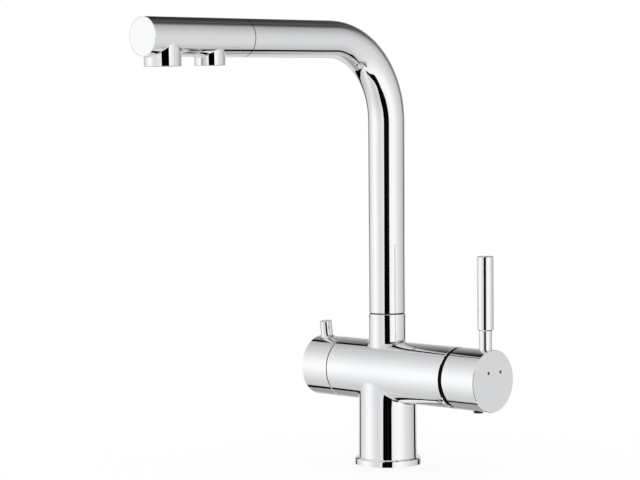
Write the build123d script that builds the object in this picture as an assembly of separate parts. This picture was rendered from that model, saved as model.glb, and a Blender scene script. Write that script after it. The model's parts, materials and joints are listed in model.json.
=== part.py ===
from build123d import *
from math import asin, cos, degrees, radians, sin, sqrt
import os

# Three way kitchen tap: hot and cold water through a single lever mixer on the right,
# filtered water through a quarter turn valve on the left, two outlets in one spout head.
# Millimetres, +Z up. The origin is the centre of the base ring's underside, on the sink top.
# The barrel runs along X (mixer handle at +X), and the spout points along -Y.

os.makedirs("parts", exist_ok=True)

# ---------------------------------------------------------------- driving dimensions

# Body casting
barrel_wall = 5.9
barrel_z = 72.0
barrel_left_x = -43.3
barrel_right_x = 72.2
column_inset = 1.35
column_flare = 0.55
neck_d = 28.6
neck_rise = 44.7
neck_fillet = 2.6
column_fillet = 2.2
edge_break = 0.25

# Base ring and seal
base_rim = 3.1
base_h = 5.5
base_bevel = 1.1
base_lip = 0.5
base_seat_z = 2.0
seal_groove_w = 2.4
seal_h = 1.5

# Underside of the column: recess, hose ports, fixing stud hole
column_wall = 4.1
recess_top_z = 22.0
port_thread_r = 4.46
port_depth = 12.0
port_edge = 2.04
port_count = 3
inlet_drop = 4.5
stud_thread_r = 3.32
stud_depth = 14.0
waterway_r = 3.2

# Spout
tube_d = 28.0
tube_wall = 1.2
spout_z = 327.5
bend_r = 62.5
spout_reach = 250.5
head_length = 97.1
head_wall = 1.9
swivel_gap = 1.0
seam_gap = 0.6
swivel_stop_deg = 110.0

# Spout outlets
tap_outlet_d = 26.4
tap_outlet_inset = 18.9
tap_outlet_drop = 20.8
filter_outlet_d = 22.0
filter_outlet_inset = 32.2
filter_outlet_drop = 20.1
outlet_fillet = 0.8
outlet_wall = 1.6
sleeve_wall = 2.8
sleeve_length = 12.0
end_cap_rim = 0.6
end_cap_t = 3.0
end_cap_spigot = 2.0
seam_depth = 0.8

# Aerators
aerator_wall = 1.5
aerator_recess = 0.3
aerator_h = 8.0
aerator_washer_w = 2.6
aerator_washer_h = 1.8
insert_up = 0.9
insert_t = 2.5
tap_cell_rings = 3
tap_cell_pitch = 2.7
filter_cell_rings = 2
filter_cell_pitch = 2.8
cell_fill = 0.41
notch_count = 8
notch_w = 1.6
notch_h = 1.0

# Mixer handle
cap_gap = 3.1
mixer_cap_length = 31.1
mixer_relief = 2.6
cap_wall = 3.0
cap_front_wall = 5.5
cap_boss_r = 9.5
cap_web = 2.0
dome_room = 0.4
lever_inset = 7.4
lever_grip_d = 12.2
lever_neck_d = 9.6
lever_neck_h = 14.1
lever_h = 69.8
lever_edge = 0.9
spot_depth = 1.2
tail_d = 6.0
tail_end_z = 9.0
grub_inset = 14.4
grub_d = 5.0
grub_length = 8.0
hex_key = 2.5
plug_d = 7.5
plug_proud = 1.6
plug_depth = 3.0
dot_d = 2.4
dot_depth = 0.6
dot_spacing = 13.8
dot_rise = 6.4
dot_shift = 1.6

# Filter handle
filter_gap = 0.4
filter_cap_length = 26.4
pin_d = 9.5
pin_inset = 8.1
pin_h = 12.2
pin_fillet = 2.2
pin_lean_deg = 7.0

# Mixer cartridge
cartridge_d = 35.0
cartridge_length = 28.0
cartridge_base_h = 5.0
shell_step = 3.0
shell_wall = 2.5
roof_wall = 4.3
cartridge_lift = 0.5
disc_t = 3.0
carrier_t = 5.5
shoulder_depth = 10.2
cartridge_neck_d = 27.0
cartridge_neck_h = 7.0
turret_d = 23.0
turret_proud = 1.5
pivot_rise = 4.0
ball_reach = 16.0
ball_d = 6.0
ball_neck_r = 2.2
stem_side = 8.0
stem_reach = 32.0
pivot_pin_d = 3.0
tilt_deg = 12.0
inlet_y = 7.6
outlet_rise = 10.5
seal_wall = 1.4
seal_depth = 1.8
disc_r = 11.0
disc_rim = 4.0
disc_pocket_rise = 1.0
guide_y = 10.5

# Lock nut and dome cover
nut_rim = 2.2
nut_h = 6.4
nut_runout = 2.0
nut_slots = 4
nut_slot_w = 4.0
nut_slot_depth = 2.5
nut_slot_from = 15.5
dome_wall = 1.4
dome_hole_d = 24.0
dome_flange_t = 1.2
barrel_lip = 0.8

# Filter valve
valve_length = 14.0
valve_thread_d = 20.6
valve_flange_depth = 5.3
valve_hex = 24.0
valve_hex_h = 8.0
valve_bore_r = 8.0
valve_body_lift = 3.5
valve_seal_h = 4.0
valve_seal_in_r = 5.0
valve_disc_t = 2.8
valve_disc_rim = 2.5
valve_disc_bridge = 1.2
driver_h = 2.4
window_w = 8.0
window_inset = 0.4
filter_drill_r = 1.8
filter_drill_rise = 4.0
valve_neck_d = 17.0
valve_neck_h = 5.0
valve_pocket_d = 32.0
spindle_d = 10.0
spindle_step = 1.0
seal_d = 1.6
spline_d = 8.0
spline_teeth = 12
spline_tooth = 1.0
spline_inset = 6.6

# Swivel
swivel_bore_d = 22.4
swivel_floor_rise = 10.0
spigot_d = 21.9
spigot_lift = 2.0
spigot_bore_d = 16.4
connector_reach = 18.5
slip_ring_w = 3.0
groove_depth = 1.5
groove_land = 1.5
retainer_rise = 29.0
retainer_d = 5.0
dog_d = 3.8
dog_bite = 1.2

# Filtered water pipe
pipe_d = 8.0
pipe_bore_d = 5.5
socket_wall = 1.4
ferrule_lift = 2.0
ferrule_socket = 12.0
elbow_reach = 12.0
elbow_socket = 6.0
elbow_room = 0.2
ferrule_bore_d = 10.2
ferrule_floor_rise = 1.0

# Clearances
running = 0.05
fit = 0.1
loose = 0.3
overcut = 1.0

# ---------------------------------------------------------------- derived sizes

cartridge_r = cartridge_d / 2
nut_thread_r = cartridge_r + nut_rim
dome_r = nut_thread_r - fit
barrel_r = cartridge_r + barrel_wall
dome_flange_r = barrel_r - barrel_lip - running
column_top_r = barrel_r - column_inset
column_bottom_r = column_top_r + column_flare
base_r = column_bottom_r + base_rim
recess_r = column_bottom_r - column_wall
base_hole_r = recess_r - base_lip
seal_groove_r = (base_r + base_hole_r) / 2
port_circle_r = recess_r - port_edge - port_thread_r
tube_r = tube_d / 2
tube_in_r = tube_r - tube_wall
cap_in_r = barrel_r - cap_wall

# Mixer side, along X from the barrel's end
shoulder_x = barrel_right_x - shoulder_depth
cartridge_seat_x = shoulder_x - cartridge_length
cartridge_neck_x = shoulder_x + cartridge_neck_h
turret_end_x = cartridge_neck_x + turret_proud
pivot_x = shoulder_x + pivot_rise
ball_x = pivot_x - ball_reach
stem_end_x = pivot_x + stem_reach
mixer_rim_x = barrel_right_x + cap_gap
mixer_end_x = mixer_rim_x + mixer_cap_length
lever_x = mixer_end_x - lever_inset
grub_x = mixer_end_x - grub_inset

# Spout, up Z from the barrel's axis and along Y from the head's end
neck_top_z = barrel_z + neck_rise
tube_bottom_z = neck_top_z + swivel_gap
swivel_floor_z = barrel_z + swivel_floor_rise
ferrule_floor_z = barrel_z + ferrule_floor_rise
spigot_bottom_z = swivel_floor_z + spigot_lift
connector_top_z = tube_bottom_z + connector_reach
retainer_z = barrel_z + retainer_rise
spout_end_y = -spout_reach
seam_y = spout_end_y + head_length
head_start_y = seam_y - seam_gap
tap_outlet_y = spout_end_y + tap_outlet_inset
filter_outlet_y = head_start_y - filter_outlet_inset

# Filter side, along X from the barrel's end, then from the valve's seat towards the handle
filter_rim_x = barrel_left_x - filter_gap
filter_end_x = filter_rim_x - filter_cap_length
pin_x = filter_end_x + pin_inset
spline_end_x = filter_end_x + spline_inset
valve_flange_x = barrel_left_x + valve_flange_depth
valve_seat_x = valve_flange_x + valve_length
valve_body_end_x = valve_seat_x - valve_body_lift
seal_top_x = valve_seat_x - valve_seal_h
valve_fixed_x = seal_top_x - valve_disc_t
valve_moving_top_x = valve_fixed_x - running
valve_moving_x = valve_moving_top_x - valve_disc_t
driver_x = valve_moving_x - driver_h
hex_top_x = valve_flange_x - valve_hex_h
valve_top_x = hex_top_x - valve_neck_h

STAND = (Align.CENTER, Align.CENTER, Align.MIN)
SEAL_SIDES = 8
SAME_PLACE = 1e-3
on_barrel = Pos(0, 0, barrel_z)
on_spout = Pos(0, 0, spout_z)

# ---------------------------------------------------------------- shape helpers


def rod_x(r, x0, x1, y=0.0, z=0.0):
    """Round bar along X from x0 up to x1."""
    return Pos(x0, y, z) * Rot(Y=90) * Cylinder(r, x1 - x0, align=STAND)


def rod_y(r, y0, y1, x=0.0, z=0.0):
    """Round bar along Y from y0 up to y1."""
    return Pos(x, y0, z) * Rot(X=-90) * Cylinder(r, y1 - y0, align=STAND)


def rod_z(r, z0, z1, x=0.0, y=0.0):
    """Round bar along Z from z0 up to z1."""
    return Pos(x, y, z0) * Cylinder(r, z1 - z0, align=STAND)


def ring_x(r_out, r_in, x0, x1, y=0.0, z=0.0):
    return rod_x(r_out, x0, x1, y, z) - rod_x(r_in, x0, x1, y, z)


def ring_y(r_out, r_in, y0, y1, x=0.0, z=0.0):
    return rod_y(r_out, y0, y1, x, z) - rod_y(r_in, y0, y1, x, z)


def ring_z(r_out, r_in, z0, z1, x=0.0, y=0.0):
    return rod_z(r_out, z0, z1, x, y) - rod_z(r_in, z0, z1, x, y)


def block(x0, x1, y0, y1, z0, z1):
    return Pos(x0, y0, z0) * Box(x1 - x0, y1 - y0, z1 - z0, align=(Align.MIN,) * 3)


def o_ring(r_out, section_d):
    """O-ring round Z that reaches out to r_out, with an eight sided section."""
    turn = 180 / SEAL_SIDES
    section = RegularPolygon(section_d / 2, SEAL_SIDES, major_radius=False, rotation=turn)
    return revolve(Plane.XZ * Pos(r_out - section_d / 2, 0) * section, Axis.Z)


def circles_at(part, axis, place):
    """Round edges of part that lie in the plane at place along axis."""
    middles = part.edges().filter_by(GeomType.CIRCLE)
    return [e for e in middles if abs(getattr(e.bounding_box().center(), axis) - place) < SAME_PLACE]


# ---------------------------------------------------------------- body and base

ports = [Rot(Z=180 + k * 360 / port_count) * Pos(port_circle_r, 0, 0) for k in range(port_count)]
port_tops = [barrel_z, barrel_z - inlet_drop, barrel_z - inlet_drop]
cartridge_ports = [(-inlet_y, -inlet_drop), (inlet_y, -inlet_drop), (0.0, outlet_rise)]


def body_outside():
    """Cross of barrel, neck and tapered column with soft inside corners."""
    column = Pos(0, 0, base_seat_z) * Cone(
        column_bottom_r, column_top_r, barrel_z - base_seat_z, align=STAND
    )
    neck = rod_z(neck_d / 2, barrel_z, neck_top_z)
    barrel = on_barrel * rod_x(barrel_r, barrel_left_x, barrel_right_x)
    cross = barrel + column + neck
    saddles = cross.edges().filter_by(lambda e: e.geom_type not in (GeomType.LINE, GeomType.CIRCLE))
    upper = [e for e in saddles if e.center().Z > barrel_z]
    cross = fillet(upper, neck_fillet)
    saddles = cross.edges().filter_by(lambda e: e.geom_type not in (GeomType.LINE, GeomType.CIRCLE))
    lower = [e for e in saddles if e.center().Z < barrel_z]
    cross = fillet(lower, column_fillet)
    rims = circles_at(cross, "X", barrel_left_x) + circles_at(cross, "X", barrel_right_x)
    rims += circles_at(cross, "Z", neck_top_z)
    return chamfer(rims, edge_break)


def mixer_pocket():
    """Cartridge pocket, nut thread, seat of the dome's flange and the drillings behind."""
    pocket = rod_x(cartridge_r + fit, cartridge_seat_x, barrel_right_x)
    pocket += rod_x(nut_thread_r + fit, shoulder_x - nut_runout, barrel_right_x)
    seat_x = barrel_right_x - dome_flange_t - running
    pocket += rod_x(dome_flange_r + running, seat_x, barrel_right_x)
    for y, z in cartridge_ports[:2]:
        pocket += rod_x(waterway_r, port_circle_r / 2 - waterway_r, cartridge_seat_x, y, z)
    y, z = cartridge_ports[2]
    pocket += rod_x(waterway_r, swivel_bore_d / 2 - waterway_r, cartridge_seat_x, y, z)
    return on_barrel * pocket


def filter_pocket():
    """Pocket for the quarter turn valve, its inlet and the drilling to the pipe ferrule."""
    pocket = rod_x(valve_pocket_d / 2, barrel_left_x, valve_flange_x)
    pocket += rod_x(valve_thread_d / 2 + fit, valve_flange_x, valve_seat_x)
    pocket += rod_x(waterway_r, valve_seat_x, -port_circle_r + waterway_r)
    start = ((valve_moving_x + valve_moving_top_x) / 2, valve_thread_d / 2 - filter_drill_r / 2)
    end = (-ferrule_bore_d / 2, ferrule_floor_z + filter_drill_rise - barrel_z)
    run = sqrt((end[0] - start[0]) ** 2 + (end[1] - start[1]) ** 2)
    dip = degrees(asin((start[1] - end[1]) / run))
    pocket += Pos(start[0], 0, start[1]) * Rot(Y=90 + dip) * Cylinder(filter_drill_r, run, align=STAND)
    return on_barrel * pocket


def swivel_socket():
    """Bore in the neck for the spout's spigot, with the ferrule's bore under it."""
    socket = rod_z(swivel_bore_d / 2, swivel_floor_z, neck_top_z)
    socket += rod_z(ferrule_bore_d / 2, ferrule_floor_z, swivel_floor_z)
    socket += rod_y(retainer_d / 2 + fit, 0, neck_d / 2 + overcut, z=retainer_z)
    return socket


def hose_side():
    """Recess under the column with the hose ports and the fixing stud's hole in its roof."""
    under = rod_z(recess_r, base_seat_z, recess_top_z)
    under += rod_z(stud_thread_r, recess_top_z, recess_top_z + stud_depth)
    for port, top_z in zip(ports, port_tops):
        under += port * rod_z(port_thread_r, recess_top_z, recess_top_z + port_depth)
        under += port * rod_z(waterway_r, recess_top_z + port_depth, top_z)
    return under


def body_casting():
    return body_outside() - mixer_pocket() - filter_pocket() - swivel_socket() - hose_side()


def seal_track(gap):
    """Ring under the base ring; gap widens it from the seal to its groove."""
    half = seal_groove_w / 2 - fit + gap
    return ring_z(seal_groove_r + half, seal_groove_r - half, 0, seal_h + gap)


def base_ring():
    ring = rod_z(base_r, 0, base_h)
    ring = chamfer(circles_at(ring, "Z", base_h), base_bevel)
    ring = fillet(circles_at(ring, "Z", base_h - base_bevel), base_bevel)
    ring -= rod_z(base_hole_r, 0, base_seat_z)
    ring -= rod_z(column_bottom_r + running, base_seat_z, base_h)
    return ring - seal_track(fit)


# ---------------------------------------------------------------- mixer cartridge

# Stack along X from the seat: base, fixed disc, moving disc, carrier, turret.
base_top_x = cartridge_seat_x + cartridge_lift + cartridge_base_h
fixed_top_x = base_top_x + disc_t
moving_x = fixed_top_x + running
moving_top_x = moving_x + disc_t
carrier_top_x = moving_top_x + carrier_t
turret_flange_x = carrier_top_x + loose
shell_x = cartridge_seat_x + cartridge_lift + shell_step
cavity_r = cartridge_r - shell_wall
roof_x = shoulder_x - roof_wall
ball_r = ball_d / 2
stem_half = stem_side / 2
slot_down = stem_half + (turret_end_x - pivot_x) * sin(radians(tilt_deg)) + loose
slot_up = stem_half + (pivot_x - carrier_top_x) * sin(radians(tilt_deg)) + loose


def cartridge_base():
    """Plastic base with two inlets, one outlet and a seal pocket round each."""
    x0 = cartridge_seat_x + cartridge_lift
    body = rod_x(cartridge_r, x0, shell_x) + rod_x(cavity_r - fit, shell_x, base_top_x)
    for y, z in cartridge_ports:
        body -= rod_x(waterway_r, x0, base_top_x, y, z)
        body -= rod_x(waterway_r + seal_wall, x0, x0 + seal_depth, y, z)
    return on_barrel * body


def cartridge_base_seals():
    x1 = cartridge_seat_x + cartridge_lift + seal_depth
    seals = Part()
    for y, z in cartridge_ports:
        seals += ring_x(waterway_r + seal_wall - fit, waterway_r, cartridge_seat_x, x1, y, z)
    return on_barrel * seals


def fixed_ceramic_disc():
    disc = rod_x(cavity_r - loose, base_top_x, fixed_top_x)
    for y, z in cartridge_ports:
        disc -= rod_x(waterway_r, base_top_x, fixed_top_x, y, z)
    return on_barrel * disc


def moving_ceramic_disc():
    """Disc whose blind pocket joins the inlets to the outlet as it slides."""
    disc = rod_x(disc_r, moving_x, moving_top_x)
    disc -= rod_x(disc_r - disc_rim, moving_x, moving_x + disc_t / 2, 0, disc_pocket_rise)
    return on_barrel * disc


def disc_carrier():
    """Driver over the moving disc, with the socket for the stem's ball."""
    carrier = rod_x(disc_r, moving_top_x, carrier_top_x)
    carrier &= block(moving_top_x, carrier_top_x, -guide_y, guide_y, -disc_r, disc_r)
    carrier -= rod_x(ball_r + fit, ball_x - ball_r - fit, carrier_top_x)
    return on_barrel * carrier


def cartridge_housing():
    shell = rod_x(cartridge_r, shell_x, shoulder_x)
    shell += rod_x(cartridge_neck_d / 2, shoulder_x, cartridge_neck_x)
    shell -= rod_x(cavity_r, shell_x, roof_x)
    shell -= rod_x(turret_d / 2 + fit, roof_x, cartridge_neck_x)
    return on_barrel * shell


def cartridge_turret():
    """Turns in the housing's neck, guides the carrier and holds the stem's pivot pin."""
    flange_r = cavity_r - loose
    turret = rod_x(flange_r, turret_flange_x, roof_x - fit)
    turret += rod_x(turret_d / 2, roof_x - fit, turret_end_x)
    guides = rod_x(flange_r, moving_top_x + loose, turret_flange_x)
    guides -= block(moving_top_x, turret_flange_x, -guide_y - fit, guide_y + fit, -flange_r, flange_r)
    turret += guides
    half_slot = stem_half + fit
    turret -= block(turret_flange_x, turret_end_x, -half_slot, half_slot, -slot_down, slot_up)
    turret -= rod_y(pivot_pin_d / 2 + running / 2, -turret_d, turret_d, x=pivot_x)
    return on_barrel * turret


def pivot_pin():
    half = sqrt((turret_d / 2) ** 2 - (pivot_pin_d / 2) ** 2) - loose
    return on_barrel * rod_y(pivot_pin_d / 2, -half, half, x=pivot_x)


def cartridge_stem():
    """Square lever bar on its pivot, with a ball on the inner end."""
    shank_x = pivot_x - stem_side
    stem = block(shank_x, stem_end_x, -stem_half, stem_half, -stem_half, stem_half)
    stem += rod_x(ball_neck_r, ball_x, shank_x)
    stem += Pos(ball_x, 0, 0) * Sphere(ball_r)
    stem -= rod_y(pivot_pin_d / 2 + running, -stem_side, stem_side, x=pivot_x)
    return on_barrel * stem


def cartridge_lock_nut():
    """Threaded ring that holds the cartridge down, with four wrench slots."""
    top_x = shoulder_x + nut_h
    half = nut_slot_w / 2
    nut = ring_x(nut_thread_r, cartridge_neck_d / 2 + fit, shoulder_x, top_x)
    for k in range(nut_slots):
        slot = block(top_x - nut_slot_depth, top_x, -half, half, nut_slot_from, barrel_r)
        nut -= Rot(X=360 / nut_slots * k) * slot
    return on_barrel * nut


def cartridge_dome_cover():
    """Dark cover: a dome round the lever's pivot, with a flange that lines the handle's gap."""
    start = shoulder_x + nut_h - pivot_x
    hole_r = dome_hole_d / 2
    reach = sqrt(dome_r**2 - hole_r**2)
    foot_r = sqrt((dome_r - dome_wall) ** 2 - start**2)
    inner = [(start, foot_r), (reach - dome_wall, hole_r), (reach, hole_r)]
    outer = [(reach, dome_r), (start, dome_r)]
    section = make_face(Polyline(*inner, *outer, close=True)) & Circle(dome_r)
    inner_r = dome_r - dome_wall
    flange = Rectangle(dome_flange_t, dome_flange_r - inner_r, align=(Align.MAX, Align.MIN))
    section += Pos(barrel_right_x - pivot_x, inner_r) * flange
    return on_barrel * Pos(pivot_x, 0, 0) * revolve(section, Axis.X)


# ---------------------------------------------------------------- mixer handle

cap_floor_x = pivot_x + dome_r + dome_room
dot_floor_x = mixer_end_x - dot_depth
dot_places = [dot_shift - dot_spacing / 2, dot_shift + dot_spacing / 2]
spot_z = barrel_r - spot_depth
tail_r = tail_d / 2
grub_r = grub_d / 2
plug_r = plug_d / 2


def relief_wedge():
    """Thin wedge off the lower half of the cap's rim, which lets the cap tilt."""
    corners = [(mixer_rim_x, 0), (mixer_rim_x + mixer_relief, -barrel_r), (mixer_rim_x, -barrel_r)]
    side = Plane.XZ * make_face(Polyline(*corners, close=True))
    return extrude(side, barrel_r, both=True)


def mixer_handle_cap():
    cap = rod_x(barrel_r, mixer_rim_x, mixer_end_x)
    cap = chamfer(circles_at(cap, "X", mixer_end_x) + circles_at(cap, "X", mixer_rim_x), edge_break)
    cap -= rod_x(cap_in_r, mixer_rim_x, cap_floor_x)
    cap -= relief_wedge()
    side_pocket = ring_x(cap_in_r, cap_boss_r, cap_floor_x, mixer_end_x - cap_front_wall)
    web = plug_r + cap_web
    for side in (-1, 1):
        y0, y1 = sorted((side * web, side * barrel_r))
        cap -= side_pocket & block(cap_floor_x, mixer_end_x, y0, y1, -barrel_r, barrel_r)
    half = stem_half + fit
    cap -= block(cap_floor_x, stem_end_x + fit, -half, half, -half, half)
    cap -= rod_z(lever_neck_d / 2 + fit, spot_z, barrel_r, x=lever_x)
    cap -= rod_z(tail_r + fit, tail_end_z - fit, spot_z, x=lever_x)
    cap -= rod_z(grub_r + fit, -barrel_r, -half, x=grub_x)
    cap -= rod_z(plug_r + fit, -barrel_r, -barrel_r + plug_depth, x=grub_x)
    for y in dot_places:
        cap -= rod_x(dot_d / 2 + running, dot_floor_x, mixer_end_x, y, dot_rise)
    return on_barrel * cap


def lever_rod():
    """One turned rod: threaded tail, slim neck and thicker grip with broken edges."""
    grip_z = barrel_r + lever_neck_h
    top_z = barrel_r + lever_h
    grip = rod_z(lever_grip_d / 2, grip_z, top_z)
    grip = chamfer(circles_at(grip, "Z", grip_z), lever_edge)
    grip = fillet(circles_at(grip, "Z", top_z), lever_edge)
    rod = grip + rod_z(lever_neck_d / 2, spot_z, grip_z) + rod_z(tail_r, tail_end_z, spot_z)
    return on_barrel * Pos(lever_x, 0, 0) * rod


def hex_socket_screw(r, length):
    """Grub screw along +Z from its point at 0, with a hexagon socket in the far end."""
    screw = rod_z(r, 0, length)
    socket = extrude(RegularPolygon(hex_key / 2, 6, major_radius=False), length / 2)
    return screw - Pos(0, 0, length / 2) * socket


def mixer_grub_screw():
    point = Pos(grub_x, 0, -stem_half) * Rot(X=180)
    return on_barrel * point * hex_socket_screw(grub_r, grub_length)


def mixer_screw_plug():
    plug = rod_z(plug_r, -barrel_r - plug_proud, -barrel_r + plug_depth)
    plug = fillet(circles_at(plug, "Z", -barrel_r - plug_proud), plug_proud / 2)
    return on_barrel * Pos(grub_x, 0, 0) * plug


def mixer_indicator_dots():
    dots = Part()
    for y in dot_places:
        dots += rod_x(dot_d / 2, dot_floor_x, mixer_end_x, y, dot_rise)
    return on_barrel * dots


# ---------------------------------------------------------------- filter valve and handle

lean = Rot(X=pin_lean_deg)
spindle_groove_r = spindle_d / 2 - seal_d
spindle_groove_places = [hex_top_x + valve_hex_h / 4, hex_top_x + valve_hex_h * 3 / 4]
filter_floor_x = valve_top_x - spindle_step - loose
filter_grub_x = (spline_end_x + filter_floor_x) / 2


def half_moon(r, x0, x1, side):
    """Round bar cut down to the part on one side of the axis."""
    z0, z1 = sorted((side * valve_disc_bridge, side * r))
    return rod_x(r, x0, x1) & block(x0, x1, -r, r, z0, z1)


def filter_valve_body():
    """Brass headwork: threaded barrel with two windows, hexagon and neck."""
    body = rod_x(valve_thread_d / 2, valve_flange_x, valve_body_end_x)
    hexagon = extrude(RegularPolygon(valve_hex / 2, 6, major_radius=False), valve_hex_h)
    body += Pos(hex_top_x, 0, 0) * Rot(Y=90) * hexagon
    body += rod_x(valve_neck_d / 2, valve_top_x, hex_top_x)
    body -= rod_x(valve_bore_r, driver_x - fit, valve_body_end_x)
    body -= rod_x(spindle_d / 2 + running, valve_top_x, driver_x)
    x0 = valve_moving_x + window_inset
    x1 = valve_moving_top_x - window_inset
    half = window_w / 2
    return on_barrel * (body - block(x0, x1, -half, half, -valve_thread_d, valve_thread_d))


def filter_valve_seal():
    return on_barrel * ring_x(valve_bore_r - fit, valve_seal_in_r, seal_top_x, valve_seat_x)


def filter_fixed_disc():
    disc = rod_x(valve_bore_r - fit, valve_fixed_x, seal_top_x)
    for side in (-1, 1):
        disc -= half_moon(valve_bore_r - valve_disc_rim, valve_fixed_x, seal_top_x, side)
    return on_barrel * disc


def filter_moving_disc():
    disc = rod_x(valve_bore_r - fit, valve_moving_x, valve_moving_top_x)
    for side in (-1, 1):
        moon = half_moon(valve_bore_r - valve_disc_rim, valve_moving_x, valve_moving_top_x, side)
        disc -= Rot(X=90) * moon
    return on_barrel * lean * disc


def spline(r, x0, x1):
    """Toothed shaft end along X."""
    half = spline_tooth / 2
    shaft = rod_x(r - half, x0, x1)
    for k in range(spline_teeth):
        shaft += Rot(X=360 / spline_teeth * k) * block(x0, x1, -half, half, 0, r)
    return shaft


def filter_valve_spindle():
    spindle = rod_x(valve_bore_r - fit, driver_x, valve_moving_x)
    spindle += rod_x(spindle_d / 2, valve_top_x - spindle_step, driver_x)
    spindle += spline(spline_d / 2, spline_end_x, valve_top_x - spindle_step)
    half = seal_d / 2 + fit
    for x in spindle_groove_places:
        spindle -= ring_x(spindle_d / 2, spindle_groove_r, x - half, x + half)
    return on_barrel * lean * spindle


def spindle_o_rings():
    rings = Part()
    for x in spindle_groove_places:
        rings += Pos(x, 0, 0) * Rot(Y=90) * o_ring(spindle_d / 2, seal_d)
    return on_barrel * lean * rings


def filter_handle_cap():
    """Cap with its integral pin lever and a grub screw hole on the hidden side."""
    cap = rod_x(barrel_r, filter_end_x, filter_rim_x)
    cap += rod_z(pin_d / 2, 0, barrel_r + pin_h, x=pin_x)
    saddle = cap.edges().filter_by(lambda e: e.geom_type not in (GeomType.LINE, GeomType.CIRCLE))
    cap = fillet(saddle, pin_fillet)
    rims = circles_at(cap, "X", filter_end_x) + circles_at(cap, "X", filter_rim_x)
    rims += circles_at(cap, "Z", barrel_r + pin_h)
    cap = chamfer(rims, edge_break)
    cap -= rod_x(barrel_r - cap_wall, filter_floor_x, filter_rim_x)
    cap -= rod_x(spline_d / 2 + fit, spline_end_x - loose, filter_floor_x)
    cap -= rod_y(grub_r + fit, 0, barrel_r, x=filter_grub_x)
    return on_barrel * lean * cap


def filter_grub_screw():
    point = Pos(filter_grub_x, spline_d / 2 + fit, 0) * Rot(X=-90)
    return on_barrel * lean * point * hex_socket_screw(grub_r, grub_length)


# ---------------------------------------------------------------- spout swivel

spigot_r = spigot_d / 2
seat_r = spigot_r - groove_depth
slip_r = swivel_bore_d / 2 - running
low_slip_z = spigot_bottom_z + groove_land
high_slip_z = neck_top_z - groove_land - slip_ring_w
swivel_oring_z = [low_slip_z + slip_ring_w + 2 * groove_land, high_slip_z - 2 * groove_land]
swivel_section_d = slip_r - seat_r
groove_half = swivel_section_d / 2 + fit
dog_r = dog_d / 2
dog_tip = spigot_r - dog_bite
dog_shoulder = spigot_r + 2 * loose


def spout_connector():
    """Brass spigot that carries the spout in the neck, with its grooves and swivel stop."""
    body = rod_z(spigot_r, spigot_bottom_z, tube_bottom_z)
    body += rod_z(tube_in_r - running, tube_bottom_z, connector_top_z)
    body -= rod_z(spigot_bore_d / 2, spigot_bottom_z, connector_top_z)
    for z in (low_slip_z, high_slip_z):
        body -= ring_z(spigot_r, seat_r, z - running, z + slip_ring_w + running)
    for z in swivel_oring_z:
        body -= ring_z(spigot_r, seat_r, z - groove_half, z + groove_half)
    stop = dog_r + fit
    groove = ring_z(spigot_r, dog_tip - fit, retainer_z - stop, retainer_z + stop)
    sweep_deg = 2 * (swivel_stop_deg + degrees(asin(stop / dog_tip)))
    wedge = Rot(Z=90 - sweep_deg / 2) * Cylinder(spigot_d, 3 * stop, sweep_deg)
    return body - (groove & Pos(0, 0, retainer_z) * wedge)


def seal_groove(r, z):
    """Ring to cut from a bar of radius r around Z, for an O-ring at height z."""
    return ring_z(r, r - seal_d, z - seal_d / 2 - fit, z + seal_d / 2 + fit)


def spout_slip_rings():
    rings = Part()
    for z in (low_slip_z, high_slip_z):
        rings += ring_z(slip_r, seat_r + running / 2, z, z + slip_ring_w)
    return rings


def spout_o_rings():
    rings = Part()
    for z in swivel_oring_z:
        rings += Pos(0, 0, z) * o_ring(slip_r, swivel_section_d)
    return rings


def spout_slip_washer():
    """Dark washer between the neck and the spout, seen as the swivel seam."""
    return ring_z(tube_r - seam_depth, swivel_bore_d / 2 + fit, neck_top_z, tube_bottom_z)


def spout_retaining_screw():
    """Dog point screw from behind the neck into the spigot's stop groove."""
    length = neck_d / 2 - seam_depth - dog_shoulder
    screw = rod_z(dog_r, dog_tip, dog_shoulder)
    screw += Pos(0, 0, dog_shoulder) * hex_socket_screw(retainer_d / 2, length)
    return Pos(0, 0, retainer_z) * Rot(X=-90) * screw


# ---------------------------------------------------------------- spout tube and pipe


def spout_path(z0, y1):
    """Centreline from z0 up the tube, round the bend and out to y1."""
    corner_z = spout_z - bend_r
    half_turn = radians(45)
    middle = (0, -bend_r * (1 - cos(half_turn)), corner_z + bend_r * sin(half_turn))
    rise = Line((0, 0, z0), (0, 0, corner_z))
    bend = ThreePointArc((0, 0, corner_z), middle, (0, -bend_r, spout_z))
    run = Line((0, -bend_r, spout_z), (0, y1, spout_z))
    return rise + bend + run


def swept_tube(r_out, r_in, z0, y1):
    path = spout_path(z0, y1)
    section = Pos(0, 0, z0) * (Circle(r_out) - Circle(r_in))
    return sweep(section, path)


def spout_tube():
    return swept_tube(tube_r, tube_in_r, tube_bottom_z, seam_y)


ferrule_r = ferrule_bore_d / 2 - running
ferrule_bottom_z = ferrule_floor_z + ferrule_lift
ferrule_collar_z = swivel_floor_z + loose
ferrule_seal_z = (ferrule_bottom_z + swivel_floor_z) / 2
pipe_r = pipe_d / 2
pipe_socket_r = pipe_r + socket_wall
pipe_bottom_z = ferrule_collar_z + ferrule_lift
elbow_face_y = filter_outlet_y + elbow_reach
pipe_end_y = elbow_face_y - elbow_socket


def filtered_water_pipe():
    return swept_tube(pipe_r, pipe_bore_d / 2, pipe_bottom_z, pipe_end_y)


def filtered_pipe_ferrule():
    """Brass end of the pipe that turns in the body's own bore under the neck."""
    top_z = pipe_bottom_z + ferrule_socket
    ferrule = rod_z(ferrule_r, ferrule_bottom_z, ferrule_collar_z)
    ferrule += rod_z(pipe_socket_r, ferrule_collar_z, top_z)
    ferrule -= rod_z(pipe_bore_d / 2, ferrule_bottom_z, top_z)
    ferrule -= rod_z(pipe_r + running, pipe_bottom_z, top_z)
    return ferrule - seal_groove(ferrule_r, ferrule_seal_z)


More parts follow.
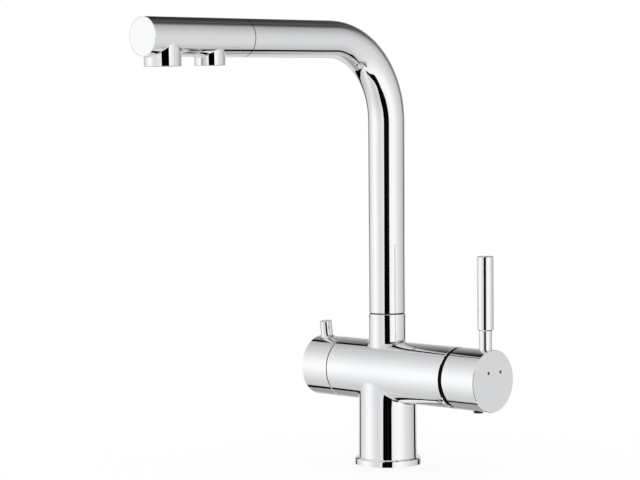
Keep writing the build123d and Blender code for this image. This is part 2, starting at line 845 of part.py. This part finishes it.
def filtered_pipe_o_ring():
    return Pos(0, 0, ferrule_seal_z) * o_ring(ferrule_r, seal_d)


# ---------------------------------------------------------------- spout head

head_in_r = tube_r - head_wall
sleeve_r = tube_in_r - running
sleeve_back_y = seam_y + sleeve_length
sleeve_front_y = head_start_y - sleeve_length
sleeve_seal_y = (head_start_y + sleeve_front_y) / 2
end_cap_r = tube_r - end_cap_rim
tap_thread_r = tap_outlet_d / 2 - outlet_wall
filter_thread_r = filter_outlet_d / 2 - outlet_wall
aerator_top = aerator_recess + aerator_h + aerator_washer_h
elbow_r = filter_thread_r - elbow_room
elbow_low = -filter_outlet_drop + aerator_top + loose
elbow_seal_z = elbow_low + groove_land + seal_d / 2


def spout_head():
    """Head casting: two outlet bosses under one hollow barrel."""
    head = rod_y(tube_r, spout_end_y, head_start_y)
    head += rod_z(tap_outlet_d / 2, -tap_outlet_drop, 0, y=tap_outlet_y)
    head += rod_z(filter_outlet_d / 2, -filter_outlet_drop, 0, y=filter_outlet_y)
    saddles = head.edges().filter_by(lambda e: e.geom_type not in (GeomType.LINE, GeomType.CIRCLE))
    head = fillet(saddles, outlet_fillet)
    rims = circles_at(head, "Y", head_start_y) + circles_at(head, "Y", spout_end_y)
    rims += circles_at(head, "Z", -tap_outlet_drop) + circles_at(head, "Z", -filter_outlet_drop)
    head = chamfer(rims, edge_break / 2)
    head -= rod_y(head_in_r, spout_end_y, head_start_y)
    head -= rod_y(sleeve_r + fit, sleeve_front_y, head_start_y)
    head -= rod_y(end_cap_r + running, spout_end_y, spout_end_y + end_cap_t)
    head -= rod_z(tap_thread_r + fit, -tap_outlet_drop, 0, y=tap_outlet_y)
    head -= rod_z(filter_thread_r + fit, -filter_outlet_drop, 0, y=filter_outlet_y)
    return on_spout * head


def head_end_cap():
    disc = rod_y(end_cap_r, spout_end_y, spout_end_y + end_cap_t)
    disc = chamfer(circles_at(disc, "Y", spout_end_y), edge_break / 2)
    inner_y = spout_end_y + end_cap_t
    disc += rod_y(head_in_r - fit, inner_y, inner_y + end_cap_spigot)
    return on_spout * disc


def head_connector():
    """Brass sleeve that joins the head to the tube, with one O-ring groove."""
    sleeve = ring_y(sleeve_r, sleeve_r - sleeve_wall, sleeve_front_y, sleeve_back_y)
    groove = Pos(0, sleeve_seal_y, 0) * Rot(X=90) * seal_groove(sleeve_r, 0)
    return on_spout * (sleeve - groove)


def head_connector_o_ring():
    return on_spout * Pos(0, sleeve_seal_y, 0) * Rot(X=90) * o_ring(sleeve_r, seal_d)


def head_seam_ring():
    """Thin dark ring in the seam between tube and head."""
    return on_spout * ring_y(tube_r - seam_depth, sleeve_r + running, head_start_y, seam_y)


def filtered_outlet_elbow():
    """Brass elbow in the rear boss that turns the pipe's water down."""
    elbow = rod_z(elbow_r, elbow_low, pipe_socket_r + elbow_room, y=filter_outlet_y)
    elbow += rod_y(pipe_socket_r, filter_outlet_y, elbow_face_y)
    elbow -= rod_y(pipe_r + running, pipe_end_y, elbow_face_y)
    elbow -= rod_y(pipe_bore_d / 2, filter_outlet_y, pipe_end_y)
    elbow -= rod_z(pipe_bore_d / 2, elbow_low, 0, y=filter_outlet_y)
    elbow -= Pos(0, filter_outlet_y, 0) * seal_groove(elbow_r, elbow_seal_z)
    return on_spout * elbow


def elbow_o_ring():
    return on_spout * Pos(0, filter_outlet_y, elbow_seal_z) * o_ring(filter_thread_r + running, seal_d)


# ---------------------------------------------------------------- aerators


def aerator_housing(thread_r, y, drop):
    """Threaded ring with spanner notches round its lower edge."""
    low = -drop + aerator_recess
    half = notch_w / 2
    ring = ring_z(thread_r, thread_r - aerator_wall, low, low + aerator_h)
    for k in range(notch_count):
        notch = block(thread_r - aerator_wall - overcut, thread_r + overcut, -half, half, low, low + notch_h)
        ring -= Rot(Z=360 / notch_count * k) * notch
    return on_spout * Pos(0, y, 0) * ring


def honeycomb(rings, pitch):
    """Centres of a hexagonal field of holes with that many rings round the middle one."""
    centres = []
    for a in range(-rings, rings + 1):
        for b in range(-rings, rings + 1):
            if abs(a + b) <= rings:
                centres.append((pitch * (a + b / 2), pitch * b * sqrt(3) / 2))
    return centres


def aerator_insert(thread_r, y, drop, rings, pitch):
    """Flow straightener with a field of hexagonal holes."""
    r = thread_r - aerator_wall - running
    low = -drop + aerator_recess + insert_up
    plate = Circle(r)
    for cx, cy in honeycomb(rings, pitch):
        cell = RegularPolygon(pitch * cell_fill, 6, major_radius=False, rotation=30)
        plate -= Pos(cx, cy) * cell
    return on_spout * Pos(0, y, low) * extrude(plate, insert_t)


def aerator_washer(thread_r, y, drop):
    low = -drop + aerator_recess + aerator_h
    top = low + aerator_washer_h
    return on_spout * ring_z(thread_r - fit, thread_r - aerator_washer_w, low, top, y=y)


# ---------------------------------------------------------------- write the parts

tap_side = (tap_thread_r, tap_outlet_y, tap_outlet_drop)
filter_side = (filter_thread_r, filter_outlet_y, filter_outlet_drop)

nodes = {
    "body_casting": body_casting(),
    "base_ring": base_ring(),
    "base_seal": seal_track(0),
    "cartridge_base": cartridge_base(),
    "cartridge_base_seals": cartridge_base_seals(),
    "fixed_ceramic_disc": fixed_ceramic_disc(),
    "moving_ceramic_disc": moving_ceramic_disc(),
    "disc_carrier": disc_carrier(),
    "cartridge_housing": cartridge_housing(),
    "cartridge_turret": cartridge_turret(),
    "pivot_pin": pivot_pin(),
    "cartridge_stem": cartridge_stem(),
    "cartridge_lock_nut": cartridge_lock_nut(),
    "cartridge_dome_cover": cartridge_dome_cover(),
    "mixer_handle_cap": mixer_handle_cap(),
    "lever_rod": lever_rod(),
    "mixer_grub_screw": mixer_grub_screw(),
    "mixer_screw_plug": mixer_screw_plug(),
    "mixer_indicator_dots": mixer_indicator_dots(),
    "filter_valve_body": filter_valve_body(),
    "filter_valve_seal": filter_valve_seal(),
    "filter_fixed_disc": filter_fixed_disc(),
    "filter_moving_disc": filter_moving_disc(),
    "filter_valve_spindle": filter_valve_spindle(),
    "spindle_o_rings": spindle_o_rings(),
    "filter_handle_cap": filter_handle_cap(),
    "filter_grub_screw": filter_grub_screw(),
    "spout_connector": spout_connector(),
    "spout_slip_rings": spout_slip_rings(),
    "spout_o_rings": spout_o_rings(),
    "spout_slip_washer": spout_slip_washer(),
    "spout_retaining_screw": spout_retaining_screw(),
    "spout_tube": spout_tube(),
    "filtered_water_pipe": filtered_water_pipe(),
    "filtered_pipe_ferrule": filtered_pipe_ferrule(),
    "filtered_pipe_o_ring": filtered_pipe_o_ring(),
    "spout_head": spout_head(),
    "head_end_cap": head_end_cap(),
    "head_connector": head_connector(),
    "head_connector_o_ring": head_connector_o_ring(),
    "head_seam_ring": head_seam_ring(),
    "filtered_outlet_elbow": filtered_outlet_elbow(),
    "elbow_o_ring": elbow_o_ring(),
    "tap_aerator_housing": aerator_housing(*tap_side),
    "tap_aerator_insert": aerator_insert(*tap_side, tap_cell_rings, tap_cell_pitch),
    "tap_aerator_washer": aerator_washer(*tap_side),
    "filter_aerator_housing": aerator_housing(*filter_side),
    "filter_aerator_insert": aerator_insert(*filter_side, filter_cell_rings, filter_cell_pitch),
    "filter_aerator_washer": aerator_washer(*filter_side),
}

for name, part in nodes.items():
    export_step(part, f"parts/{name}.step")
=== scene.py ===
import json
import math

import bpy
from mathutils import Matrix, Vector


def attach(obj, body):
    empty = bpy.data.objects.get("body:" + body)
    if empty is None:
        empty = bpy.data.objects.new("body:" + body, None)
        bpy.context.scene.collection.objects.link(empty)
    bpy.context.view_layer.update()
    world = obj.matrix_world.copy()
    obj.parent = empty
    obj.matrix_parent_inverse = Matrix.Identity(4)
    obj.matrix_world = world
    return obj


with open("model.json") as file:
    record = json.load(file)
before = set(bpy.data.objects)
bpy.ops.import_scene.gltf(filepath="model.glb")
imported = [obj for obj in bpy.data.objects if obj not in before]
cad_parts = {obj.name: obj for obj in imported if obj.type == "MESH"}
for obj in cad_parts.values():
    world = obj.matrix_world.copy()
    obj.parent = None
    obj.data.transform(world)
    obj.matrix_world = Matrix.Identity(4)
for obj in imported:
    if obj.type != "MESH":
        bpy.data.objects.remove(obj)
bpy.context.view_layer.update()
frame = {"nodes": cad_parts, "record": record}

# ---------------------------------------------------------------- camera of the photograph

# Place in metres, angles in degrees, lens and sensor in millimetres.
CAMERA_PLACE = (1.24442, -1.36242, 0.28819)
CAMERA_AZIMUTH = 44.014
CAMERA_ELEVATION = 3.547
CAMERA_ROLL = -0.398
CAMERA_LENS = 134.49
SENSOR_WIDTH = 36.0
CLIP_START = 0.05
CLIP_END = 50


def make_camera():
    a = math.radians(CAMERA_AZIMUTH)
    e = math.radians(CAMERA_ELEVATION)
    roll = math.radians(CAMERA_ROLL)
    back = Vector((math.sin(a) * math.cos(e), -math.cos(a) * math.cos(e), math.sin(e)))
    level_right = Vector((math.cos(a), math.sin(a), 0))
    level_up = back.cross(level_right)
    right = math.cos(roll) * level_right + math.sin(roll) * level_up
    up = back.cross(right)
    turn = Matrix((right, up, back)).transposed().to_4x4()
    camera = bpy.data.objects.new("camera", bpy.data.cameras.new("camera"))
    bpy.context.scene.collection.objects.link(camera)
    camera.matrix_world = Matrix.Translation(CAMERA_PLACE) @ turn
    camera.data.lens = CAMERA_LENS
    camera.data.sensor_width = SENSOR_WIDTH
    camera.data.clip_start = CLIP_START
    camera.data.clip_end = CLIP_END
    bpy.context.scene.camera = camera


# ---------------------------------------------------------------- node trees


class Nodes:
    """Short calls for the nodes of a material's or a world's tree."""

    def __init__(self, tree):
        self.tree = tree

    def feed(self, socket, value):
        """Links a node's output into the socket, or sets the socket to a plain value."""
        if isinstance(value, bpy.types.NodeSocket):
            self.tree.links.new(value, socket)
        else:
            socket.default_value = value

    def add(self, kind, **values):
        """New node, with each value in its input or property of that name."""
        node = self.tree.nodes.new("ShaderNode" + kind)
        for name, value in values.items():
            socket = name.replace("_", " ")
            if socket in node.inputs:
                self.feed(node.inputs[socket], value)
            else:
                setattr(node, name, value)
        return node

    def place(self, kind):
        """The shaded point's texture coordinate of that kind."""
        return self.add("TexCoord").outputs[kind]

    def split(self, vector):
        return self.add("SeparateXYZ", Vector=vector).outputs

    def math(self, operation, a, b=0.0):
        node = self.add("Math", operation=operation)
        self.feed(node.inputs[0], a)
        self.feed(node.inputs[1], b)
        return node.outputs[0]

    def spread(self, value, start, end, low, high, shape="LINEAR"):
        """Maps value from start..end to low..high."""
        node = self.add(
            "MapRange", interpolation_type=shape,
            Value=value, From_Min=start, From_Max=end, To_Min=low, To_Max=high,
        )
        return node.outputs["Result"]

    def colors(self, factor, low, high):
        """Colour that runs from low to high with factor."""
        node = self.add("Mix", data_type="RGBA", Factor=factor)
        for color, socket in ((low, node.inputs[6]), (high, node.inputs[7])):
            self.feed(socket, (*color, 1) if isinstance(color, tuple) else color)
        return node.outputs[2]

    def ramp(self, value, stops):
        """Grey levels between stops, each a place from 0 to 1 and a level."""
        node = self.add("ValToRGB")
        node.color_ramp.interpolation = "EASE"
        points = node.color_ramp.elements
        while len(points) < len(stops):
            points.new(0.5)
        for point, (place, level) in zip(points, stops):
            point.position = place
            point.color = (level, level, level, 1)
        self.feed(node.inputs[0], value)
        return node.outputs[0]

    def glow(self, kind, level):
        """Shader of that kind with a grey colour of that level."""
        plain = isinstance(level, (int, float))
        return self.add(kind, Color=(level, level, level, 1) if plain else level).outputs[0]

    def mix(self, factor, first, second):
        """First shader where factor is 0, second where it is 1."""
        node = self.add("MixShader")
        for socket, value in zip(node.inputs, (factor, first, second)):
            self.feed(socket, value)
        return node.outputs[0]


# ---------------------------------------------------------------- finishes

# Most of a noise's values lie between these.
NOISE_LOW = 0.3
NOISE_HIGH = 0.7

# A grain is a noise's scale and detail: its features are about 1 / scale metres wide.
CHROME_TINTS = (0.885, 0.895, 0.91), (0.915, 0.92, 0.925)
CHROME_TINT_GRAIN = 18, 3
CHROME_ROUGHNESS = 0.008, 0.03
CHROME_ROUGHNESS_GRAIN = 140, 4
BRASS_TINTS = (0.62, 0.44, 0.19), (0.78, 0.58, 0.29)
BRASS_TINT_GRAIN = 300, 4
BRASS_ROUGHNESS = 0.2, 0.38
BRASS_ROUGHNESS_GRAIN = 900, 3

# The recess under the column is bare turned brass.
RECESS_RADIUS = 0.0187
RECESS_TOP = 0.05
TURNING_SCALE = 1100
TURNING_RELIEF = 0.000008
HALF_PLATED_NODES = ("body_casting", "base_ring")


class Surface(Nodes):
    """Material with a Principled shader whose inputs vary with noise."""

    def __init__(self, name, tints, roughness, metallic):
        self.material = bpy.data.materials.new(name)
        self.material.use_nodes = True
        super().__init__(self.material.node_tree)
        self.shader = self.tree.nodes["Principled BSDF"].inputs
        self.shader["Base Color"].default_value = (*(sum(c) / 2 for c in zip(*tints)), 1)
        self.shader["Roughness"].default_value = sum(roughness) / 2
        self.shader["Metallic"].default_value = metallic
        self.at = self.place("Object")

    def noise(self, grain):
        scale, detail = grain
        return self.add("TexNoise", Vector=self.at, Scale=scale, Detail=detail).outputs["Fac"]

    def vary(self, grain, low, high):
        """Noise that runs from low to high."""
        return self.spread(self.noise(grain), NOISE_LOW, NOISE_HIGH, low, high)

    def tint(self, grain, tints):
        return self.colors(self.vary(grain, 0, 1), *tints)

    def relief(self, height, value):
        """Bump of that height in metres."""
        bump = self.add("Bump", Strength=1.0, Distance=height, Height=value)
        self.feed(self.shader["Normal"], bump.outputs["Normal"])


def finish(name, metallic, tints, tint_grain, roughness, roughness_grain, height, relief_grain):
    """Finish whose tint, roughness and relief, of that height in metres, vary with noise."""
    s = Surface(name, tints, roughness, metallic)
    s.feed(s.shader["Base Color"], s.tint(tint_grain, tints))
    s.feed(s.shader["Roughness"], s.vary(roughness_grain, *roughness))
    s.relief(height, s.noise(relief_grain))
    return s.material


def moulded(name, low, high, roughness, scale, height):
    """Moulded plastic or rubber, with a fine grain of that scale."""
    return finish(name, 0.0, (low, high), (scale / 5, 3), roughness, (scale / 2, 3),
                  height, (scale, 3))


def half_plated():
    """Chrome outside, and bare turned brass in the recess under the column."""
    s = Surface("half_plated_brass", CHROME_TINTS, CHROME_ROUGHNESS, 1.0)
    x, y, z = s.split(s.at)
    radius = s.math("SQRT", s.math("ADD", s.math("MULTIPLY", x, x), s.math("MULTIPLY", y, y)))
    inside = s.math("LESS_THAN", radius, RECESS_RADIUS)
    bare = s.math("MULTIPLY", inside, s.math("LESS_THAN", z, RECESS_TOP))
    plated = s.tint(CHROME_TINT_GRAIN, CHROME_TINTS)
    brass = s.tint(BRASS_TINT_GRAIN, BRASS_TINTS)
    s.feed(s.shader["Base Color"], s.colors(bare, plated, brass))
    polish = s.vary(CHROME_ROUGHNESS_GRAIN, *CHROME_ROUGHNESS)
    cut = s.math("MULTIPLY", bare, s.vary(BRASS_ROUGHNESS_GRAIN, *BRASS_ROUGHNESS))
    s.feed(s.shader["Roughness"], s.math("ADD", polish, cut))
    turning = s.add("TexWave", bands_direction="Z", Scale=TURNING_SCALE, Vector=s.at)
    s.relief(TURNING_RELIEF, s.math("MULTIPLY", bare, turning.outputs["Fac"]))
    return s.material


FINISHES = {
    "polished_chrome": finish(
        "polished_chrome", 1.0, CHROME_TINTS, CHROME_TINT_GRAIN,
        CHROME_ROUGHNESS, CHROME_ROUGHNESS_GRAIN, 0.000002, (45, 1),
    ),
    "bare_brass": finish(
        "bare_brass", 1.0, BRASS_TINTS, BRASS_TINT_GRAIN,
        BRASS_ROUGHNESS, BRASS_ROUGHNESS_GRAIN, 0.00001, (3500, 2),
    ),
    "screw_steel": finish(
        "screw_steel", 1.0, ((0.46, 0.46, 0.47), (0.62, 0.62, 0.63)), (700, 3),
        (0.22, 0.4), (2500, 2), 0.00001, (5000, 2),
    ),
    "white_ceramic": finish(
        "white_ceramic", 0.0, ((0.84, 0.83, 0.79), (0.91, 0.9, 0.87)), (1500, 5),
        (0.08, 0.18), (800, 2), 0.000004, (2500, 2),
    ),
    "cartridge_plastic": moulded(
        "cartridge_plastic", (0.62, 0.63, 0.65), (0.7, 0.71, 0.73), (0.38, 0.55), 2200, 0.00002
    ),
    "pipe_plastic": moulded(
        "pipe_plastic", (0.8, 0.83, 0.86), (0.86, 0.88, 0.9), (0.3, 0.45), 1500, 0.00001
    ),
    "dark_plastic": moulded(
        "dark_plastic", (0.008, 0.008, 0.009), (0.018, 0.018, 0.02), (0.35, 0.5), 2500, 0.00002
    ),
    "black_rubber": moulded(
        "black_rubber", (0.012, 0.012, 0.012), (0.028, 0.028, 0.027), (0.6, 0.8), 3000, 0.00004
    ),
}


def dress_frame():
    """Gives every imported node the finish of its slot."""
    slots = {s["node"]: s["material_slot"] for s in frame["record"]["subparts"]}
    plated_outside = half_plated()
    for name, piece in frame["nodes"].items():
        wanted = plated_outside if name in HALF_PLATED_NODES else FINISHES[slots[name]]
        for slot in piece.material_slots:
            slot.material = wanted


# ---------------------------------------------------------------- threads under the column

STUD_PITCH = 0.00125
HOSE_PITCH = 0.001
THREAD_TOP_INSET = 0.0004
THREAD_STEPS = 48
# Corners of the ridge, in pitches out from the hole's wall and up from the thread's start.
THREAD_SECTION = ((0.02, 0.02), (-0.4, 0.44), (-0.4, 0.56), (0.02, 0.98))


def thread(name, wall, pitch, depth, place):
    """Thread ridge on the wall, of that radius, of a blind hole that goes up from place."""
    steps = int((depth - pitch - THREAD_TOP_INSET) / pitch * THREAD_STEPS)
    points = []
    for k in range(steps + 1):
        a = 2 * math.pi * k / THREAD_STEPS
        for out, up in THREAD_SECTION:
            r = wall + out * pitch
            points.append((r * math.cos(a), r * math.sin(a), (up + k / THREAD_STEPS) * pitch))
    size = len(THREAD_SECTION)
    faces = [tuple(reversed(range(size))), tuple(range(len(points) - size, len(points)))]
    for start in range(0, steps * size, size):
        for i in range(size):
            j = (i + 1) % size
            faces.append((start + i, start + j, start + size + j, start + size + i))
    mesh = bpy.data.meshes.new(name)
    mesh.from_pydata(points, [], faces)
    mesh.transform(Matrix.Translation(place))
    mesh.materials.append(FINISHES["bare_brass"])
    piece = bpy.data.objects.new(name, mesh)
    bpy.context.scene.collection.objects.link(piece)
    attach(piece, "tap_body")


def cut_threads():
    """A ridge in each threaded hole that the record's mounts name."""
    for mount in frame["record"]["mounts"]:
        if mount["kind"] == "threaded_hole":
            pitch = STUD_PITCH if mount["name"] == "fixing_stud_hole" else HOSE_PITCH
            wall = mount["dims"]["r_mm"] / 1000
            depth = mount["dims"]["length_mm"] / 1000
            thread(mount["name"] + "_thread", wall, pitch, depth, mount["pos_m"])


# ---------------------------------------------------------------- studio

FLOOR_SIZE = 6.0
FLOOR_DROP = 0.0001
FLOOR_SHADOW = 0.25
FLOOR_COLOR = 0.9
DIFFUSE_LIGHT = 0.8

# The walls of the light tent that the chrome reflects, as azimuths in degrees from the camera's
# own direction, positive to its right, and brightness there. A brightness of 1 is white.
TENT_WALLS = (
    (-150, 0.6), (-141, 0.66), (-130, 0.74), (-117, 0.86), (-85, 1.08), (-42, 0.78), (-18, 0.88),
    (14, 0.86), (23, 1.0), (42, 1.05), (92, 0.74), (117, 0.6), (128, 0.45), (150, 0.42),
)
# The right wall's pattern leans by so many degrees towards the tent's top and bottom.
RIGHT_WALL_CURVE = 12
# The walls lose this share of their brightness up to that rise of the direction's unit vector.
TENT_FADE = 0.23
TENT_FADE_UP_TO = 0.7
# The floor gives part of it back below, the more the further right the direction goes.
FLOOR_GLOW = 0.255
FLOOR_GLOW_FROM = -0.775
FLOOR_GLOW_TO = 0.5
# The tent's dark corner, high up behind the tap on the right.
CORNER_DARKNESS = 0.85
CORNER_AZIMUTHS = (111, 140)
CORNER_RISES = (0.3, 0.7)

# Strips of the stage that only reflections show. Each row is a height and the strip's left and
# right edge there, as metres to the right of the tap and behind it for the camera.
BACKDROP = (
    (-3.0, (-0.4, 0.4), (0.6, 0.4)),
    (-0.43, (-0.38, 0.4), (0.5, 0.4)),
    (0.03, (-0.26, 0.4), (0.4, 0.4)),
    (0.51, (-0.229, 0.4), (0.4, 0.4)),
    (1.5, (-0.165, 0.4), (0.4, 0.4)),
)
LEFT_SEAM = (
    (-3.0, (-0.5, 0.39), (-0.36, 0.39)),
    (-0.43, (-0.455, 0.39), (-0.315, 0.39)),
    (0.03, (-0.32, 0.39), (-0.21, 0.39)),
    (0.51, (-0.28, 0.39), (-0.195, 0.39)),
    (1.5, (-0.2, 0.39), (-0.13, 0.39)),
)
RIGHT_SEAM = (
    (-3.0, (0.2, 0.39), (1.2, 0.39)),
    (-1.8, (0.26, 0.39), (1.2, 0.39)),
    (-0.86, (0.42, 0.39), (0.75, 0.39)),
    (-0.4, (0.35, 0.39), (0.7, 0.39)),
    (0.05, (0.312, 0.39), (0.503, 0.39)),
    (0.5, (0.35, 0.39), (0.43, 0.39)),
    (0.65, (0.385, 0.39), (0.4, 0.39)),
)
FRONT_SLIT = (
    (-3.0, (-0.4, -0.5), (0.08, -0.5)),
    (-1.3, (-0.2, -0.55), (0.05, -0.5)),
    (-0.95, (-0.17, -0.57), (0.1, -0.5)),
    (-0.68, (-0.12, -0.58), (0.18, -0.49)),
    (-0.46, (-0.12, -0.59), (0.24, -0.47)),
    (-0.36, (-0.15, -0.6), (0.22, -0.47)),
    (-0.27, (-0.2, -0.605), (0.18, -0.48)),
    (-0.1, (-0.235, -0.605), (0.11, -0.49)),
    (0.15, (-0.197, -0.607), (0.121, -0.492)),
    (0.3, (-0.177, -0.609), (0.143, -0.494)),
    (0.6, (-0.179, -0.609), (0.185, -0.494)),
    (0.7, (-0.18, -0.609), (0.36, -0.4)),
    (2.0, (-0.18, -0.609), (0.36, -0.4)),
)
SLIT_GLINT = (
    (-0.1, (-0.09, -0.565), (-0.01, -0.525)),
    (0.27, (-0.045, -0.565), (0.035, -0.525)),
)
GLINT = 0.012
DARK = 0.001

# The backdrop's brightness by height, and what it gains across these metres to the right.
BACKDROP_LEVELS = (
    (-0.4, 0.4), (-0.3, 0.35), (-0.21, 0.38), (-0.12, 0.58), (-0.03, 0.7), (0.13, 0.78),
    (0.2, 0.53), (0.32, 0.34), (0.41, 0.25), (0.46, 0.2), (0.5, 0.15), (0.55, 0.085), (0.6, 0.025),
)
BACKDROP_SIDE_GLOW = 0.085
BACKDROP_GLOW_ACROSS = (-0.1, 0.4)


def empty_tree(owner):
    """The cleared node tree of a material or a world."""
    owner.use_nodes = True
    owner.node_tree.nodes.clear()
    return Nodes(owner.node_tree)


def tent_brightness(n):
    """Brightness of the light tent along the ray's direction."""
    turn = n.add("VectorRotate", rotation_type="Z_AXIS", Angle=-math.radians(CAMERA_AZIMUTH),
                 Vector=n.place("Generated"))
    right, away, up = n.split(turn.outputs[0])
    azimuth = n.math("ARCTAN2", right, n.math("MULTIPLY", away, -1.0))
    curve = n.math("MULTIPLY", n.math("MULTIPLY", up, up), math.radians(RIGHT_WALL_CURVE))
    on_right = n.math("GREATER_THAN", right, 0.0)
    azimuth = n.math("ADD", azimuth, n.math("MULTIPLY", curve, on_right))
    turned = n.spread(azimuth, -math.pi, math.pi, 0.0, 1.0)
    walls = n.ramp(turned, [(0.5 + degrees / 360, level) for degrees, level in TENT_WALLS])

    darkest = n.spread(azimuth, *map(math.radians, CORNER_AZIMUTHS), 0.0, CORNER_DARKNESS,
                       "SMOOTHSTEP")
    corner = n.math("MULTIPLY", darkest, n.spread(up, *CORNER_RISES, 0.0, 1.0, "SMOOTHSTEP"))
    walls = n.math("MULTIPLY", walls, n.math("SUBTRACT", 1.0, corner))

    rise = n.spread(n.math("ABSOLUTE", up), 0.0, TENT_FADE_UP_TO, 0.0, 1.0, "SMOOTHSTEP")
    glow = n.spread(right, FLOOR_GLOW_FROM, FLOOR_GLOW_TO, 0.0, FLOOR_GLOW)
    glow = n.math("MULTIPLY", n.math("LESS_THAN", up, 0.0), glow)
    fade = n.math("MULTIPLY", rise, n.math("SUBTRACT", TENT_FADE, glow))
    return n.math("MULTIPLY", walls, n.math("SUBTRACT", 1.0, fade))


def make_world():
    """White to the camera, the light tent in reflections, plain light on everything else."""
    world = bpy.data.worlds.new("studio")
    bpy.context.scene.world = world
    n = empty_tree(world)
    path = n.add("LightPath").outputs
    reflected = n.math("MAXIMUM", path["Is Glossy Ray"], path["Is Transmission Ray"])
    light = n.glow("Background", DIFFUSE_LIGHT)
    tent = n.glow("Background", tent_brightness(n))
    white = n.glow("Background", 1.0)
    shown = n.mix(path["Is Camera Ray"], n.mix(reflected, light, tent), white)
    n.add("OutputWorld", Surface=shown)


def emission(name, level):
    """Material that glows evenly."""
    material = bpy.data.materials.new(name)
    n = empty_tree(material)
    n.add("OutputMaterial", Surface=n.glow("Emission", level))
    return material


def floor_material():
    """White floor that keeps the tap's shadow."""
    material = bpy.data.materials.new("floor")
    n = empty_tree(material)
    matt = n.glow("BsdfDiffuse", FLOOR_COLOR)
    seen = n.add("LightPath").outputs["Is Camera Ray"]
    rest_of_white = (1 - FLOOR_SHADOW * FLOOR_COLOR * DIFFUSE_LIGHT) / (1 - FLOOR_SHADOW)
    white = n.glow("Emission", rest_of_white)
    n.add("OutputMaterial", Surface=n.mix(n.math("MULTIPLY", seen, 1 - FLOOR_SHADOW), matt, white))
    return material


def backdrop_material():
    """Backdrop whose brightness changes with height, and slightly from side to side."""
    material = bpy.data.materials.new("backdrop")
    n = empty_tree(material)
    right, _, up = n.split(n.place("Object"))
    low, high = BACKDROP_LEVELS[0][0], BACKDROP_LEVELS[-1][0]
    stops = [((height - low) / (high - low), level) for height, level in BACKDROP_LEVELS]
    level = n.ramp(n.spread(up, low, high, 0.0, 1.0), stops)
    side = n.spread(right, *BACKDROP_GLOW_ACROSS, 0.0, BACKDROP_SIDE_GLOW)
    n.add("OutputMaterial", Surface=n.glow("Emission", n.math("ADD", level, side)))
    return material


def stage_piece(name, points, faces, material):
    """Piece of the stage, from points in the camera's own right, away and up directions."""
    mesh = bpy.data.meshes.new(name)
    mesh.from_pydata(points, [], faces)
    mesh.materials.append(material)
    piece = bpy.data.objects.new(name, mesh)
    piece.rotation_euler.z = math.radians(CAMERA_AZIMUTH)
    bpy.context.scene.collection.objects.link(piece)
    return piece


def strip(name, rows, material):
    """Strip of the stage that only reflections show."""
    points = [(*edge, height) for height, left, right in rows for edge in (left, right)]
    faces = [(k, k + 1, k + 3, k + 2) for k in range(0, len(points) - 2, 2)]
    piece = stage_piece(name, points, faces, material)
    piece.visible_camera = False
    piece.visible_diffuse = False
    piece.visible_shadow = False


def make_studio():
    make_world()
    half = FLOOR_SIZE / 2
    sides = ((-half, -half), (half, -half), (half, half), (-half, half))
    corners = [(*side, -FLOOR_DROP) for side in sides]
    floor = stage_piece("floor", corners, [(0, 1, 2, 3)], floor_material())
    floor.visible_glossy = False
    dark = emission("dark", DARK)
    strip("backdrop", BACKDROP, backdrop_material())
    strip("left_seam", LEFT_SEAM, dark)
    strip("right_seam", RIGHT_SEAM, dark)
    strip("front_slit", FRONT_SLIT, dark)
    strip("slit_glint", SLIT_GLINT, emission("glint", GLINT))


make_camera()
dress_frame()
cut_threads()
make_studio()

bpy.context.scene.view_settings.view_transform = "Standard"
